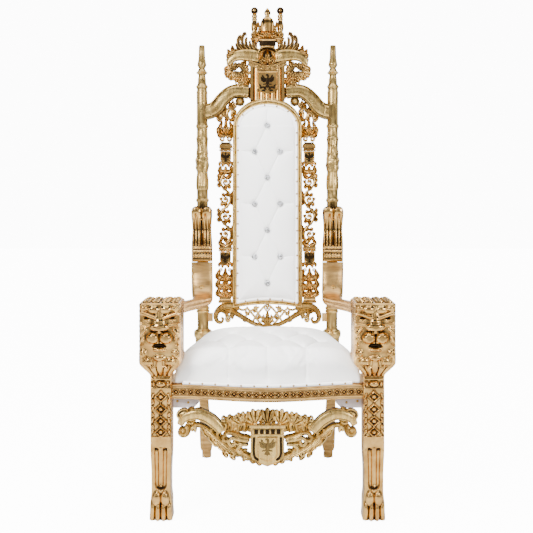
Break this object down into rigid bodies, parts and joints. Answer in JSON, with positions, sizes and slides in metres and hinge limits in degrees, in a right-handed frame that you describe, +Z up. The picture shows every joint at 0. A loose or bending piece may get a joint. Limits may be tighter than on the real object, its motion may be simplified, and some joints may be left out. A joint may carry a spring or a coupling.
{
  "type": "throne",
  "caption": "High-backed throne with lion's-head arm posts, carved and gilded frame, padded arched back with crystal buttons and a thick tufted seat cushion.",
  "frame": {"origin": "on the floor, at the middle of the throne's width and depth", "axes": "+Z up; the sitter looks along -Y; +X is on the right in a view from the front"},
  "size_m": [0.84, 0.7128, 1.835],
  "materials": {
    "polished_gold": "polished gold leaf over carved wood, darker in the hollows",
    "satin_gold": "satin gold paint over wood",
    "white_vinyl": "white leather-look vinyl with a soft sheen and fine grain",
    "crystal": "clear faceted crystal in a bright rim",
    "raw_board": "unfinished board, pale grey-lilac",
    "dark_glide": "dark plastic",
    "brass_nail": "small domed brass nails"
  },
  "bodies": {
    "root": {"front_leg_left": "polished_gold", "front_leg_right": "polished_gold", "back_post_left": "polished_gold", "back_post_right": "polished_gold", "post_spacer_left": "polished_gold", "post_spacer_right": "polished_gold", "front_stretcher": "polished_gold", "back_frame": "polished_gold", "side_carving_left": "polished_gold", "side_carving_right": "polished_gold", "lower_rail": "polished_gold", "crest_arm_left": "polished_gold", "crest_arm_right": "polished_gold", "crest": "polished_gold", "crest_finial_left": "polished_gold", "crest_finial_right": "polished_gold", "bolt_cap_left": "polished_gold", "bolt_cap_right": "polished_gold", "rear_leg_left": "satin_gold", "rear_leg_right": "satin_gold", "seat_rail_front": "satin_gold", "seat_rail_back": "satin_gold", "seat_rail_left": "satin_gold", "seat_rail_right": "satin_gold", "arm_left": "satin_gold", "arm_right": "satin_gold", "front_glide_left": "dark_glide", "front_glide_right": "dark_glide", "rear_glide_left": "dark_glide", "rear_glide_right": "dark_glide", "corner_block_left": "raw_board", "corner_block_right": "raw_board", "seat_cushion": "white_vinyl", "back_pad": "white_vinyl", "crystal_button_1": "crystal", "crystal_button_2": "crystal", "crystal_button_3": "crystal", "crystal_button_4": "crystal", "crystal_button_5": "crystal", "crystal_button_6": "crystal", "crystal_button_7": "crystal", "crystal_button_8": "crystal", "crystal_button_9": "crystal", "crystal_button_10": "crystal"}
  },
  "joints": []
}
